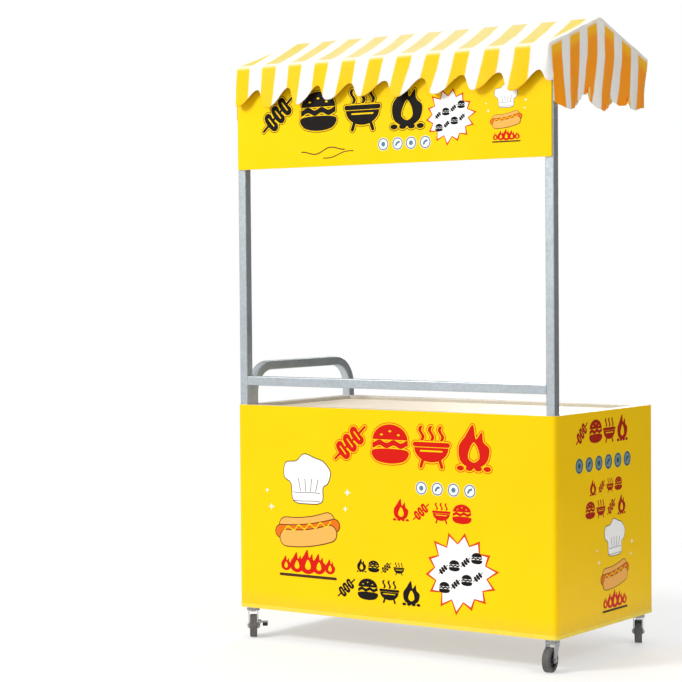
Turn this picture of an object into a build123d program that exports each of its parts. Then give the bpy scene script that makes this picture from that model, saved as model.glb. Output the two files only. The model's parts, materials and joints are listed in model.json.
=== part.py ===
"""Push vending cart: caster base, boarded cabinet, counter, serving posts, sign and gabled canopy.

Millimetres. The origin is on the floor, under the middle of the overall footprint.
+X runs to the right of a customer facing the cart, +Y away from the customer, +Z up.
"""
from build123d import *
from math import atan2, cos, radians, sin, sqrt
import os

os.makedirs("parts", exist_ok=True)

# ---- Driving dimensions ----
cabinet_width = 1200
cabinet_depth = 620
cabinet_height = 670
canopy_overhang = 24  # front eave ahead of the cabinet's front
canopy_short_back = 5  # rear eave short of the cabinet's back
pull_reach = 30  # door pulls behind the cabinet's back

# Square tube of the frame
tube = 30
tube_wall = 1.5
tube_corner = 3
drain_radius = 3

# Skins
wrap_thickness = 1
wrap_corner = 15
board_thickness = 5

# Counter, floor and shelf
counter_thickness = 12
counter_recess = 12
counter_gap = 0.5
ledge_width = 20
ledge_thickness = 3
floor_thickness = 9
shelf_thickness = 12
shelf_above_floor = 300
shelf_angle = 20
shelf_angle_thickness = 2

# Serving window
rail_above_rim = 64
sign_height = 306
sign_thickness = 5
sign_inset = 10
sign_top_gap = 3

# Push handle
handle_rise = 140
handle_bend = 90

# Canopy
eave_above_rim = 1104
ridge_rise = 106
cloth = 2
cloth_gap = 0.5
gable_offset = 0.5
canopy_tube = 20
canopy_wall = 1.2
rail_drop = 3  # eave frame's top below the eave
brace_run = 110
valance_flat = 80
scallop_width = 132
scallop_overlap = 1
scallop_bottom = 133
gable_flat = 140
gable_lobe_width = 160
gable_lobe_bottom = 190

# Rear doors
door_thickness = 12
door_gap = 3
door_stop_gap = 3
hinge_length = 60
hinge_leaf = 24
hinge_leaf_thickness = 2
knuckle_radius = 4.5
knuckle_lift = 4.6
knuckle_gap = 0.3
hinge_pin_radius = 2
hinge_end_inset = 90
pull_length = 110
pull_radius = 4
pull_bend = 8
pull_from_edge = 45
pin_head = 1
door_edge_round = 0.8
catch_size = (60, 14, 12)
catch_round = 2

# Casters
caster_inset = 32
caster_trail = 18
wheel_radius = 37.5
wheel_width = 24
tyre_thickness = 12
tyre_round = 5
hub_rim = 4
hub_rim_inset = 1
hub_web = 8
hub_boss_radius = 10
leg_gap = 1.5
hub_end_gap = 0.2
leg_thickness = 2.5
leg_boss_radius = 10
leg_top_width = 38
wheel_top_gap = 7
crown_thickness = 5
race_depth = 6
race_gap = 0.3
race_radius = 19
plate_radius = 26
plate_thickness = 3
kingpin_radius = 5
kingpin_head_radius = 9
kingpin_head = 4
axle_radius = 4
axle_head_radius = 7
axle_head = 4
running_gap = 0.05

# Side brakes of the two casters at the handle end
bracket_thickness = 2
brake_pivot_rise = 12.5  # above the axle
brake_pivot_out = 6
ear_radius = 5
lever_reach = 26
lever_width = 22
lever_thickness = 2
lever_side_gap = 0.4
lever_bead_radius = 3.5
trunnion_radius = 2
pedal_length = 16
pedal_drop = 12
pedal_round = 1.5

# ---- Places worked out from the dimensions ----
half_width = cabinet_width / 2
front_y = -cabinet_depth / 2 + (canopy_overhang - pull_reach) / 2
back_y = front_y + cabinet_depth
skin = wrap_thickness + board_thickness
frame_half = half_width - skin
frame_front = front_y + skin
axle_z = wheel_radius
crown_low = 2 * wheel_radius + wheel_top_gap + kingpin_head
crown_high = crown_low + crown_thickness
base_z = crown_high + race_depth + plate_thickness
rim_z = base_z + cabinet_height
inner_half = frame_half - tube
inner_front = frame_front + tube
inner_back = back_y - tube
counter_top = rim_z - counter_recess
counter_bottom = counter_top - counter_thickness
floor_z = base_z + tube
shelf_z = floor_z + floor_thickness + shelf_above_floor
rail_z = rim_z + rail_above_rim
eave_front = front_y - canopy_overhang
eave_back = back_y - canopy_short_back
ridge_y = (eave_front + eave_back) / 2
canopy_half_depth = (eave_back - eave_front) / 2
eave_height = rim_z + eave_above_rim
ridge_z = eave_height + ridge_rise
slope = ridge_rise / canopy_half_depth
slope_angle = atan2(ridge_rise, canopy_half_depth)
cloth_rise = cloth / cos(slope_angle)
gable_x = frame_half + gable_offset
eave_frame_top = eave_height - rail_drop
eave_frame_low = eave_frame_top - canopy_tube
sign_top = eave_frame_low - sign_top_gap
brake_pivot_height = axle_z + brake_pivot_rise


def finish(made, name):
    """Label one finished piece and write its STEP file."""
    made.label = name
    export_step(made, f"parts/{name}.step")


def slab(low, high, mode=Mode.ADD):
    """Add or cut a block between two opposite corners."""
    middle = [(a + b) / 2 for a, b in zip(low, high)]
    with Locations(tuple(middle)):
        Box(high[0] - low[0], high[1] - low[1], high[2] - low[2], mode=mode)


def tube_face(start, end, size, corner):
    """Rounded square section at the start of a straight tube."""
    run = Vector(*end) - Vector(*start)
    side = (1, 0, 0) if abs(run.X) < 1e-6 else (0, 1, 0)
    with BuildSketch(Plane(origin=start, x_dir=side, z_dir=run.normalized())) as section:
        RectangleRounded(size, size, corner)
    return section.sketch


def straight_tubes(runs, size, wall, corner):
    """Weld straight square tubes together: all the outsides, then all the bores."""
    for start, end in runs:
        length = (Vector(*end) - Vector(*start)).length
        extrude(tube_face(start, end, size, corner), amount=length)
    for start, end in runs:
        length = (Vector(*end) - Vector(*start)).length
        bore = tube_face(start, end, size - 2 * wall, corner / 2)
        extrude(bore, amount=length, mode=Mode.SUBTRACT)


def tube_ring(half_x, front, back, low, size, wall, corner):
    """Rectangular ring: two long tubes with two shorter ones welded between them."""
    mid_z = low + size / 2
    near = front + size / 2
    far = back - size / 2
    side_x = half_x - size / 2
    runs = [((-half_x, y, mid_z), (half_x, y, mid_z)) for y in (near, far)]
    for x in (-side_x, side_x):
        runs.append(((x, front + size, mid_z), (x, back - size, mid_z)))
    with BuildPart() as ring:
        straight_tubes(runs, size, wall, corner)
        with Locations((-side_x, (front + back) / 2, low), (side_x, (front + back) / 2, low)):
            Cylinder(drain_radius, 4 * wall, mode=Mode.SUBTRACT)
    return ring.part


def upright(x, y, low, high):
    """One vertical frame tube, open at both ends."""
    with BuildPart() as made:
        straight_tubes([((x, y, low), (x, y, high))], tube, tube_wall, tube_corner)
    return made.part


# ---- Welded frame ----
post_x = frame_half - tube / 2
post_y = frame_front + tube / 2
rear_upright_y = back_y - tube / 2

bottom_frame = tube_ring(frame_half, frame_front, back_y, base_z, tube, tube_wall, tube_corner)
finish(bottom_frame, "bottom_frame")

top_frame = tube_ring(frame_half, frame_front, back_y, rim_z - tube, tube, tube_wall, tube_corner)
finish(top_frame, "top_frame")

with BuildPart() as corner_uprights:
    for x in (-post_x, post_x):
        for y in (post_y, rear_upright_y):
            add(upright(x, y, base_z + tube, rim_z - tube))
finish(corner_uprights.part, "corner_uprights")

finish(upright(-post_x, post_y, rim_z, eave_frame_low), "post_left")
finish(upright(post_x, post_y, rim_z, eave_frame_low), "post_right")

with BuildPart() as guard_rail:
    rail_mid = rail_z + tube / 2
    rail_run = ((-inner_half, post_y, rail_mid), (inner_half, post_y, rail_mid))
    straight_tubes([rail_run], tube, tube_wall, tube_corner)
finish(guard_rail.part, "guard_rail")

# ---- Push handle: one bent square tube standing on the left side of the rim ----
handle_front = inner_front + tube / 2
handle_back = back_y - tube / 2
handle_top = rim_z + handle_rise - tube / 2

with BuildPart() as push_handle:
    with BuildLine() as handle_path:
        FilletPolyline(
            (-post_x, handle_front, rim_z),
            (-post_x, handle_front, handle_top),
            (-post_x, handle_back, handle_top),
            (-post_x, handle_back, rim_z),
            radius=handle_bend,
        )
    with BuildSketch(Plane((-post_x, handle_front, rim_z))):
        RectangleRounded(tube, tube, tube_corner)
        RectangleRounded(
            tube - 2 * tube_wall,
            tube - 2 * tube_wall,
            tube_corner / 2,
            mode=Mode.SUBTRACT,
        )
    sweep(path=handle_path.line)
finish(push_handle.part, "push_handle")

# ---- Counter, floor and shelf ----
ledge_low = counter_bottom - ledge_thickness

with BuildPart() as counter_ledges:
    for y in (inner_front, inner_back - ledge_width):
        slab((-inner_half, y, ledge_low), (inner_half, y + ledge_width, counter_bottom))
    for x in (-inner_half, inner_half - ledge_width):
        slab(
            (x, inner_front + ledge_width + counter_gap, ledge_low),
            (x + ledge_width, inner_back - ledge_width - counter_gap, counter_bottom),
        )
finish(counter_ledges.part, "counter_ledges")

with BuildPart() as countertop:
    slab(
        (-inner_half + counter_gap, inner_front + counter_gap, counter_bottom),
        (inner_half - counter_gap, inner_back - counter_gap, counter_top),
    )
    fillet(countertop.faces().sort_by(Axis.Z)[-1].edges(), counter_gap)
finish(countertop.part, "countertop")

board_back = back_y - door_thickness - door_stop_gap

with BuildPart() as floor_board:
    slab(
        (-frame_half, frame_front, floor_z),
        (frame_half, board_back, floor_z + floor_thickness),
    )
    for x in (-post_x, post_x):
        for y in (post_y, rear_upright_y):
            with Locations((x, y, floor_z + floor_thickness / 2)):
                Box(
                    tube + 2 * counter_gap,
                    tube + 2 * counter_gap,
                    floor_thickness,
                    mode=Mode.SUBTRACT,
                )
finish(floor_board.part, "floor_board")

with BuildPart() as shelf_rails:
    for side in (-1, 1):
        wall_x = side * inner_half
        flange_x = side * (inner_half - shelf_angle_thickness)
        inner_x = side * (inner_half - shelf_angle)
        slab(
            (min(wall_x, flange_x), frame_front, shelf_z - shelf_angle),
            (max(wall_x, flange_x), board_back, shelf_z),
        )
        slab(
            (min(flange_x, inner_x), frame_front, shelf_z - shelf_angle_thickness),
            (max(flange_x, inner_x), board_back, shelf_z),
        )
finish(shelf_rails.part, "shelf_rails")

with BuildPart() as shelf_board:
    slab(
        (-inner_half + counter_gap, frame_front + counter_gap, shelf_z),
        (inner_half - counter_gap, board_back, shelf_z + shelf_thickness),
    )
finish(shelf_board.part, "shelf_board")

# ---- Boards and the printed skin around three sides ----
with BuildPart() as front_board:
    slab(
        (-half_width + wrap_corner, front_y + wrap_thickness, base_z),
        (half_width - wrap_corner, frame_front, rim_z),
    )
finish(front_board.part, "front_board")

for side, name in ((-1, "left_board"), (1, "right_board")):
    near_x = side * frame_half
    far_x = side * (half_width - wrap_thickness)
    with BuildPart() as side_board:
        slab(
            (min(near_x, far_x), front_y + wrap_corner, base_z),
            (max(near_x, far_x), back_y, rim_z),
        )
    finish(side_board.part, name)

with BuildPart() as printed_wrap:
    with BuildSketch(Plane.XY.offset(base_z)):
        with BuildLine():
            FilletPolyline(
                (-half_width, back_y),
                (-half_width, front_y),
                (half_width, front_y),
                (half_width, back_y),
                radius=wrap_corner,
            )
            Line((half_width, back_y), (half_width - wrap_thickness, back_y))
            FilletPolyline(
                (half_width - wrap_thickness, back_y),
                (half_width - wrap_thickness, front_y + wrap_thickness),
                (-half_width + wrap_thickness, front_y + wrap_thickness),
                (-half_width + wrap_thickness, back_y),
                radius=wrap_corner - wrap_thickness,
            )
            Line((-half_width + wrap_thickness, back_y), (-half_width, back_y))
        make_face()
    extrude(amount=cabinet_height)
finish(printed_wrap.part, "printed_wrap")

with BuildPart() as sign_board:
    slab(
        (-half_width + sign_inset, frame_front - sign_thickness, sign_top - sign_height),
        (half_width - sign_inset, frame_front, sign_top),
    )
    fillet(sign_board.edges().filter_by(Axis.Y), sign_thickness)
finish(sign_board.part, "sign_board")

# ---- Canopy frame ----
rail_front = eave_front + cloth + cloth_gap
rail_back = eave_back - cloth - cloth_gap


def roof_underside(y):
    """Height just under the cloth, with its gap, over a place between the eaves."""
    return ridge_z - cloth_rise - cloth_gap - slope * abs(y - ridge_y)


eave_frame = tube_ring(
    frame_half, rail_front, rail_back, eave_frame_low, canopy_tube, canopy_wall, tube_corner / 2
)
finish(eave_frame, "canopy_eave_frame")

ridge_tube_top = roof_underside(ridge_y + canopy_tube / 2)

with BuildPart() as ridge_tube:
    ridge_mid = ridge_tube_top - canopy_tube / 2
    ridge_run = ((-frame_half, ridge_y, ridge_mid), (frame_half, ridge_y, ridge_mid))
    straight_tubes([ridge_run], canopy_tube, canopy_wall, tube_corner / 2)
finish(ridge_tube.part, "canopy_ridge_tube")


def end_tube(points, low_x, wall_points):
    """A sloping tube square to X: its cut outline, and its bore running out of both ends."""
    with BuildPart() as made:
        with BuildSketch(Plane.YZ.offset(low_x)):
            with BuildLine():
                Polyline(*points, close=True)
            make_face()
        extrude(amount=canopy_tube)
        with BuildSketch(Plane.YZ.offset(low_x + canopy_wall)):
            with BuildLine():
                Polyline(*wall_points, close=True)
            make_face()
        extrude(amount=canopy_tube - 2 * canopy_wall, mode=Mode.SUBTRACT)
    return made.part


def rafter(low_x, side):
    """Rafter from the eave frame to the ridge tube; side is -1 at the front, 1 at the back."""
    depth = canopy_tube / cos(slope_angle)
    wall = canopy_wall / cos(slope_angle)
    ridge_face = ridge_y + side * canopy_tube / 2
    top = roof_underside(ridge_face)
    toe = ridge_y + side * (ridge_z - cloth_rise - cloth_gap - eave_frame_top - wall) / slope
    heel = toe - side * (depth - wall) / slope
    outline = [
        (toe, eave_frame_top),
        (toe, roof_underside(toe)),
        (ridge_face, top),
        (ridge_face, top - depth),
        (heel, eave_frame_top),
    ]
    inside = ridge_face - side * canopy_tube
    outside = toe + side * canopy_tube
    inside_top = top - wall + canopy_tube * slope
    outside_top = top - wall - abs(outside - ridge_face) * slope
    bore_depth = depth - 2 * wall
    bore = [
        (inside, inside_top),
        (outside, outside_top),
        (outside, outside_top - bore_depth),
        (inside, inside_top - bore_depth),
    ]
    return end_tube(outline, low_x, bore)


end_x = frame_half - canopy_tube

with BuildPart() as canopy_rafters:
    for low_x in (-frame_half, end_x):
        for side in (-1, 1):
            add(rafter(low_x, side))
finish(canopy_rafters.part, "canopy_rafters")

with BuildPart() as knee_braces:
    brace_cut = canopy_tube * sqrt(2)
    brace_wall = canopy_wall * sqrt(2)
    low = eave_frame_low
    brace = [
        (inner_front, low - brace_run - brace_cut),
        (inner_front, low - brace_run),
        (inner_front + brace_run, low),
        (inner_front + brace_run + brace_cut, low),
    ]
    brace_bore = [
        (inner_front - tube, low - brace_run - brace_cut - tube + brace_wall),
        (inner_front - tube, low - brace_run - tube - brace_wall),
        (inner_front + brace_run + tube, low + tube - brace_wall),
        (inner_front + brace_run + tube, low - brace_cut + tube + brace_wall),
    ]
    for low_x in (-frame_half, end_x):
        add(end_tube(brace, low_x, brace_bore))
finish(knee_braces.part, "knee_braces")

# ---- Canopy cloth ----
scallop_count = round(2 * gable_x / scallop_width)
scallop_pitch = 2 * gable_x / scallop_count
scallop_radius = scallop_pitch / 2 + scallop_overlap

with BuildPart() as canopy_roof:
    with BuildSketch(Plane.YZ.offset(-gable_x)):
        with BuildLine():
            Polyline(
                (eave_front, eave_height - valance_flat),
                (eave_front, eave_height),
                (ridge_y, ridge_z),
                (eave_back, eave_height),
                (eave_back, eave_height - valance_flat),
                (eave_back - cloth, eave_height - valance_flat),
                (eave_back - cloth, eave_height + cloth * slope - cloth_rise),
                (ridge_y, ridge_z - cloth_rise),
                (eave_front + cloth, eave_height + cloth * slope - cloth_rise),
                (eave_front + cloth, eave_height - valance_flat),
                close=True,
            )
        make_face()
    extrude(amount=2 * gable_x)
    for valance_y in (eave_front + cloth, eave_back):
        with BuildSketch(Plane.XZ.offset(-valance_y)):
            with Locations((0, eave_height - scallop_bottom + scallop_radius)):
                with GridLocations(scallop_pitch, 1, scallop_count, 1):
                    Circle(scallop_radius)
            with Locations((0, eave_height - (scallop_bottom + cloth) / 2)):
                Rectangle(2 * gable_x, scallop_bottom - cloth, mode=Mode.INTERSECT)
            with Locations((0, eave_height - (valance_flat + cloth) / 2)):
                Rectangle(2 * gable_x, valance_flat - cloth)
        extrude(amount=cloth)
finish(canopy_roof.part, "canopy_roof")

gable_lobe_count = round(2 * canopy_half_depth / gable_lobe_width)
lobe_pitch = 2 * canopy_half_depth / gable_lobe_count
gable_lobe_radius = lobe_pitch / 2

for low_x, name in ((-gable_x - cloth, "canopy_gable_left"), (gable_x, "canopy_gable_right")):
    with BuildPart() as gable:
        with BuildSketch(Plane.YZ.offset(low_x)):
            with Locations((ridge_y, eave_height - gable_lobe_bottom + gable_lobe_radius)):
                with GridLocations(lobe_pitch, 1, gable_lobe_count, 1):
                    Circle(gable_lobe_radius)
            with Locations((ridge_y, eave_height - gable_lobe_bottom / 2)):
                Rectangle(2 * canopy_half_depth, gable_lobe_bottom, mode=Mode.INTERSECT)
            with BuildLine():
                Polyline(
                    (eave_front, eave_height - gable_flat),
                    (eave_front, eave_height),
                    (ridge_y, ridge_z),
                    (eave_back, eave_height),
                    (eave_back, eave_height - gable_flat),
                    close=True,
                )
            make_face()
        extrude(amount=cloth)
    finish(gable.part, name)

# ---- Rear doors, hung on two butt hinges each ----
opening_low = base_z + tube
opening_high = rim_z - tube
door_low = opening_low + door_gap
door_high = opening_high - door_gap
door_outer = inner_half - door_gap
hinge_x = inner_half - door_gap / 2
hinge_y = back_y + knuckle_lift
hinge_heights = (door_low + hinge_end_inset, door_high - hinge_end_inset)
knuckle_length = hinge_length / 3


def hinge_leaf_part(side, middle, on_door):
    """One leaf with its knuckles; side is the cart's side, and the door lies inwards."""
    toward = -side if on_door else side
    turns = (0,) if on_door else (-1, 1)
    plate_y = back_y + hinge_leaf_thickness / 2
    clear = knuckle_radius + knuckle_gap
    edge = side * hinge_x + toward * (clear + (hinge_leaf - clear) / 2)
    with BuildPart() as leaf:
        with Locations((edge, plate_y, middle)):
            Box(hinge_leaf - clear, hinge_leaf_thickness, hinge_length)
        for turn in turns:
            length = knuckle_length - knuckle_gap
            z = middle + turn * knuckle_length
            with Locations((side * hinge_x, hinge_y, z)):
                Cylinder(knuckle_radius, length)
            with Locations((side * hinge_x + toward * clear / 2, plate_y, z)):
                Box(clear, hinge_leaf_thickness, length)
        with Locations((side * hinge_x, hinge_y, middle)):
            Cylinder(hinge_pin_radius + running_gap, 2 * hinge_length, mode=Mode.SUBTRACT)
    return leaf.part


with BuildPart() as frame_hinge_leaves:
    for side in (-1, 1):
        for middle in hinge_heights:
            add(hinge_leaf_part(side, middle, on_door=False))
finish(frame_hinge_leaves.part, "frame_hinge_leaves")

with BuildPart() as hinge_pins:
    for side in (-1, 1):
        for middle in hinge_heights:
            with Locations((side * hinge_x, hinge_y, middle)):
                Cylinder(hinge_pin_radius, hinge_length)
            with Locations((side * hinge_x, hinge_y, middle + (hinge_length + pin_head) / 2)):
                Cylinder(hinge_pin_radius + pin_head, pin_head)
finish(hinge_pins.part, "hinge_pins")

for side, end in ((-1, "left"), (1, "right")):
    meet_x = side * door_gap / 2
    outer_x = side * door_outer
    with BuildPart() as door:
        slab(
            (min(meet_x, outer_x), back_y - door_thickness, door_low),
            (max(meet_x, outer_x), back_y, door_high),
        )
        fillet(door.edges().filter_by(Axis.Z), door_edge_round)
    finish(door.part, f"door_{end}")

    with BuildPart() as door_leaves:
        for middle in hinge_heights:
            add(hinge_leaf_part(side, middle, on_door=True))
    finish(door_leaves.part, f"door_hinge_leaves_{end}")

    pull_x = side * pull_from_edge
    pull_low = (door_low + door_high - pull_length) / 2
    pull_out = back_y + pull_reach - pull_radius
    with BuildPart() as door_pull:
        with BuildLine() as pull_path:
            FilletPolyline(
                (pull_x, back_y, pull_low),
                (pull_x, pull_out, pull_low),
                (pull_x, pull_out, pull_low + pull_length),
                (pull_x, back_y, pull_low + pull_length),
                radius=pull_bend,
            )
        with BuildSketch(Plane((pull_x, back_y, pull_low), x_dir=(1, 0, 0), z_dir=(0, 1, 0))):
            Circle(pull_radius)
        sweep(path=pull_path.line)
    finish(door_pull.part, f"door_pull_{end}")

with BuildPart() as door_catch:
    catch_back = back_y - door_thickness - running_gap
    slab(
        (-catch_size[0] / 2, catch_back - catch_size[1], opening_high - catch_size[2]),
        (catch_size[0] / 2, catch_back, opening_high),
    )
    fillet(door_catch.edges().filter_by(Axis.Z), catch_round)
finish(door_catch.part, "door_catch")

# ---- Casters ----
# Each: name, side in X, side in Y, bearing of the trail from +X in degrees, brake fitted
caster_x = half_width - caster_inset
casters = (
    ("front_left", -caster_x, front_y + caster_inset, -52, True),
    ("front_right", caster_x, front_y + caster_inset, -83, False),
    ("back_left", -caster_x, back_y - caster_inset, -70, True),
    ("back_right", caster_x, back_y - caster_inset, 117, False),
)
leg_inner = wheel_width / 2 + leg_gap
leg_outer = leg_inner + leg_thickness


def caster_plane(x, y, trail_bearing):
    """Plane on the floor under a swivel axis, whose -Y axis points along the trail."""
    turn = radians(trail_bearing + 90)
    return Plane(origin=(x, y, 0), x_dir=(cos(turn), sin(turn), 0), z_dir=(0, 0, 1))


def side_plane(base, offset):
    """Plane square to a caster's axle, at a distance from its middle along the axle."""
    return Plane(
        origin=base.from_local_coords((offset, 0, 0)), x_dir=base.y_dir, z_dir=base.x_dir
    )


race_low = crown_high + race_gap
race_high = base_z - plate_thickness

with BuildPart() as caster_plates:
    for name, x, y, bearing, braked in casters:
        with Locations((x, y, base_z - plate_thickness / 2)):
            Cylinder(plate_radius, plate_thickness)
        with Locations((x, y, (race_low + race_high) / 2)):
            Cylinder(race_radius, race_high - race_low)
        with Locations((x, y, base_z)):
            Cylinder(kingpin_radius + running_gap, 3 * (base_z - race_low), mode=Mode.SUBTRACT)
finish(caster_plates.part, "caster_plates")

kingpin_low = crown_low - running_gap - kingpin_head

with BuildPart() as caster_kingpins:
    for name, x, y, bearing, braked in casters:
        with Locations((x, y, (kingpin_low + base_z) / 2)):
            Cylinder(kingpin_radius, base_z - kingpin_low)
        with Locations((x, y, kingpin_low + kingpin_head / 2)):
            Cylinder(kingpin_head_radius, kingpin_head)
finish(caster_kingpins.part, "caster_kingpins")


def fork_part(base):
    """Pressed fork: a crown around the kingpin and two legs that taper to the axle."""
    with BuildPart() as fork:
        for inner in (leg_inner, -leg_outer):
            with BuildSketch(side_plane(base, inner)):
                with Locations((-caster_trail, axle_z)):
                    Circle(leg_boss_radius)
                with Locations((0, (crown_low + crown_high) / 2 - leg_thickness)):
                    Rectangle(leg_top_width, crown_high - crown_low)
                make_hull()
            extrude(amount=leg_thickness)
        with BuildSketch(Plane(base.from_local_coords((0, 0, crown_low)), x_dir=base.x_dir)):
            Rectangle(2 * leg_outer, leg_top_width)
            Circle(leg_top_width / 2 + leg_thickness)
        extrude(amount=crown_high - crown_low)
        with BuildSketch(Plane(base.origin, x_dir=base.x_dir)):
            Circle(kingpin_radius + running_gap)
        extrude(amount=base_z, mode=Mode.SUBTRACT)
        with BuildSketch(side_plane(base, -2 * leg_outer)):
            with Locations((-caster_trail, axle_z)):
                Circle(axle_radius + running_gap)
        extrude(amount=4 * leg_outer, mode=Mode.SUBTRACT)
    return fork.part


def axle_part(base, head_gap):
    """Axle bolt through both legs; head_gap leaves room for a bracket under its head."""
    with BuildPart() as axle:
        with BuildSketch(side_plane(base, -leg_outer)):
            with Locations((-caster_trail, axle_z)):
                Circle(axle_radius)
        extrude(amount=2 * leg_outer + head_gap)
        for start in (-leg_outer - axle_head, leg_outer + head_gap):
            with BuildSketch(side_plane(base, start)):
                with Locations((-caster_trail, axle_z)):
                    RegularPolygon(axle_head_radius, 6)
            extrude(amount=axle_head)
    return axle.part


def hub_part(base):
    """Wheel core: a rim, a thin web and a boss on the axle."""
    rim_outer = wheel_radius - tyre_thickness
    rim_inner = rim_outer - hub_rim
    boss_half = leg_inner - hub_end_gap
    axis = Axis(base.from_local_coords((0, -caster_trail, axle_z)), base.x_dir)
    section = Plane(
        origin=base.from_local_coords((0, -caster_trail, axle_z)),
        x_dir=base.x_dir,
        z_dir=-base.y_dir,
    )
    bore = axle_radius + running_gap
    with BuildPart() as hub:
        with BuildSketch(section):
            with Locations((0, (rim_outer + rim_inner) / 2)):
                Rectangle(wheel_width - 2 * hub_rim_inset, hub_rim)
            with Locations((0, (rim_inner + bore) / 2)):
                Rectangle(hub_web, rim_inner - bore)
            with Locations((0, (hub_boss_radius + bore) / 2)):
                Rectangle(2 * boss_half, hub_boss_radius - bore)
        revolve(axis=axis)
    return hub.part


def tyre_part(base):
    """Rubber tread ring with rounded shoulders."""
    rim_outer = wheel_radius - tyre_thickness
    axis = Axis(base.from_local_coords((0, -caster_trail, axle_z)), base.x_dir)
    section = Plane(
        origin=base.from_local_coords((0, -caster_trail, axle_z)),
        x_dir=base.x_dir,
        z_dir=-base.y_dir,
    )
    with BuildPart() as tyre:
        with BuildSketch(section) as profile:
            with Locations((0, (wheel_radius + rim_outer) / 2)):
                Rectangle(wheel_width, tyre_thickness)
            contact = base.from_local_coords((0, -caster_trail, 0))
            fillet(profile.vertices().sort_by_distance(contact)[:2], tyre_round)
        revolve(axis=axis)
    return tyre.part


def bracket_part(base):
    """Brake bracket under the axle head, with an ear at each end for the lever."""
    pivot_x = leg_outer + brake_pivot_out
    ear_start = lever_width / 2 + lever_side_gap
    with BuildPart() as bracket:
        with BuildSketch(side_plane(base, leg_outer)):
            with Locations((-caster_trail, axle_z)):
                Circle(leg_boss_radius)
            with Locations((-caster_trail, brake_pivot_height)):
                Rectangle(2 * (ear_start + bracket_thickness), 2 * ear_radius)
        extrude(amount=bracket_thickness)
        for low in (-ear_start - bracket_thickness, ear_start):
            ear_plane = Plane(
                origin=base.from_local_coords((0, low - caster_trail, 0)),
                x_dir=-base.x_dir,
                z_dir=base.y_dir,
            )
            with BuildSketch(ear_plane):
                with Locations((-pivot_x, brake_pivot_height)):
                    Circle(ear_radius)
                with Locations((-(leg_outer + pivot_x) / 2, brake_pivot_height)):
                    Rectangle(brake_pivot_out, 2 * ear_radius)
                with Locations((-pivot_x, brake_pivot_height)):
                    Circle(trunnion_radius + running_gap, mode=Mode.SUBTRACT)
            extrude(amount=bracket_thickness)
        with BuildSketch(side_plane(base, 0)):
            with Locations((-caster_trail, axle_z)):
                Circle(axle_radius + running_gap)
        extrude(amount=2 * leg_outer, mode=Mode.SUBTRACT)
    return bracket.part


def lever_plane(base, along):
    """Plane square to the brake pivot, seen so that +X points away from the wheel."""
    return Plane(
        origin=base.from_local_coords((0, along - caster_trail, 0)),
        x_dir=base.x_dir,
        z_dir=-base.y_dir,
    )


def lever_part(base):
    """Pressed steel brake lever on its own trunnions, raised when the brake is off."""
    pivot_x = leg_outer + brake_pivot_out
    trunnion = lever_width / 2 + lever_side_gap + bracket_thickness
    with BuildPart() as lever:
        with BuildSketch(lever_plane(base, lever_width / 2)):
            with BuildLine():
                Polyline(
                    (pivot_x, brake_pivot_height + lever_thickness / 2),
                    (pivot_x + lever_reach, brake_pivot_height + lever_thickness / 2),
                    (pivot_x + lever_reach, brake_pivot_height - pedal_drop),
                    (
                        pivot_x + lever_reach - lever_thickness,
                        brake_pivot_height - pedal_drop,
                    ),
                    (
                        pivot_x + lever_reach - lever_thickness,
                        brake_pivot_height - lever_thickness / 2,
                    ),
                    (pivot_x, brake_pivot_height - lever_thickness / 2),
                    close=True,
                )
            make_face()
            with Locations((pivot_x, brake_pivot_height)):
                Circle(lever_bead_radius)
        extrude(amount=lever_width)
        with BuildSketch(lever_plane(base, trunnion)):
            with Locations((pivot_x, brake_pivot_height)):
                Circle(trunnion_radius)
        extrude(amount=2 * trunnion)
    return lever.part


def pedal_part(base):
    """Black foot pad moulded under the lever's outer half."""
    pivot_x = leg_outer + brake_pivot_out
    outer = pivot_x + lever_reach - lever_thickness
    top = brake_pivot_height - lever_thickness / 2
    with BuildPart() as pedal:
        with BuildSketch(lever_plane(base, lever_width / 2)):
            with Locations((outer - pedal_length / 2, top - pedal_drop / 2)):
                Rectangle(pedal_length, pedal_drop)
        extrude(amount=lever_width)
        fillet(pedal.edges().filter_by(Axis((0, 0, 0), base.y_dir)), pedal_round)
    return pedal.part


for name, x, y, bearing, braked in casters:
    base = caster_plane(x, y, bearing)
    finish(fork_part(base), f"fork_{name}")
    finish(axle_part(base, bracket_thickness if braked else 0), f"axle_{name}")
    finish(hub_part(base), f"wheel_core_{name}")
    finish(tyre_part(base), f"tyre_{name}")
    if braked:
        finish(bracket_part(base), f"brake_bracket_{name}")
        finish(lever_part(base), f"brake_lever_{name}")
        finish(pedal_part(base), f"brake_pedal_{name}")
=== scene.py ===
"""Looks for the push vending cart: striped canopy cloth, printed panels, galvanised tube, casters.

Metres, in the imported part's own frame: origin on the floor, +X right, +Y away, +Z up.
"""

import bmesh
import bpy
import json
import math
import numpy as np
from mathutils import Matrix, Vector


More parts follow.
